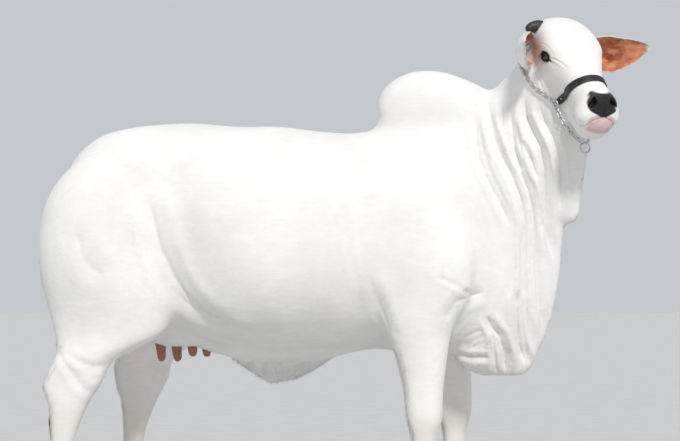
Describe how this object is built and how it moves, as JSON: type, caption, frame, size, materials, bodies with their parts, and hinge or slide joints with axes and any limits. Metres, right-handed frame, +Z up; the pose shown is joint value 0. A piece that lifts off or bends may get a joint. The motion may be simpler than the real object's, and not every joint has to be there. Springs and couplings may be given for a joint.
{
  "type": "brahman cow, standing, in a show halter",
  "caption": "Life-size standing white zebu cow with a shoulder hump, a deeply folded dewlap, a head turned to its right, and a show halter of strap and chain.",
  "frame": {"origin": "on the floor under the middle of the cow's box", "axes": "+X towards the head, +Y to the cow's left, +Z up"},
  "size_m": [2.3665, 0.8185, 1.96],
  "materials": {
    "hide": "short smooth white coat",
    "ear": "white outside, orange-pink skin inside",
    "eye": "wet dark brown",
    "horn": "black horn with fine rings",
    "hoof": "dark horn with growth rings",
    "teat": "bare reddish-brown skin",
    "switch": "long black hair",
    "strap": "plain black leather",
    "steel": "bright plated steel"
  },
  "bodies": {
    "root": {"torso": "hide", "hump": "hide", "neck": "hide", "dewlap": "hide", "head": "hide", "navel_flap": "hide", "udder": "hide", "teat_rear_right": "teat", "teat_rear_left": "teat", "teat_front_right": "teat", "teat_front_left": "teat", "leg_fore_right": "hide", "leg_fore_left": "hide", "leg_hind_right": "hide", "leg_hind_left": "hide", "hoof_fore_right_outer": "hoof", "hoof_fore_right_inner": "hoof", "hoof_fore_left_outer": "hoof", "hoof_fore_left_inner": "hoof", "hoof_hind_right_outer": "hoof", "hoof_hind_right_inner": "hoof", "hoof_hind_left_outer": "hoof", "hoof_hind_left_inner": "hoof", "dewclaw_fore_right_outer": "hoof", "dewclaw_fore_right_inner": "hoof", "dewclaw_fore_left_outer": "hoof", "dewclaw_fore_left_inner": "hoof", "dewclaw_hind_right_outer": "hoof", "dewclaw_hind_right_inner": "hoof", "dewclaw_hind_left_outer": "hoof", "dewclaw_hind_left_inner": "hoof", "ear_right": "ear", "ear_left": "ear", "eye_right": "eye", "eye_left": "eye", "horn_right": "horn", "horn_left": "horn", "tail_upper": "hide", "tail_lower": "hide", "tail_switch": "switch", "noseband": "strap", "cheek_ring_right": "steel", "cheek_ring_left": "steel", "cheek_chain_right": "steel", "cheek_chain_left": "steel", "chin_chain_right": "steel", "chin_chain_left": "steel", "lead_ring": "steel"}
  },
  "joints": []
}
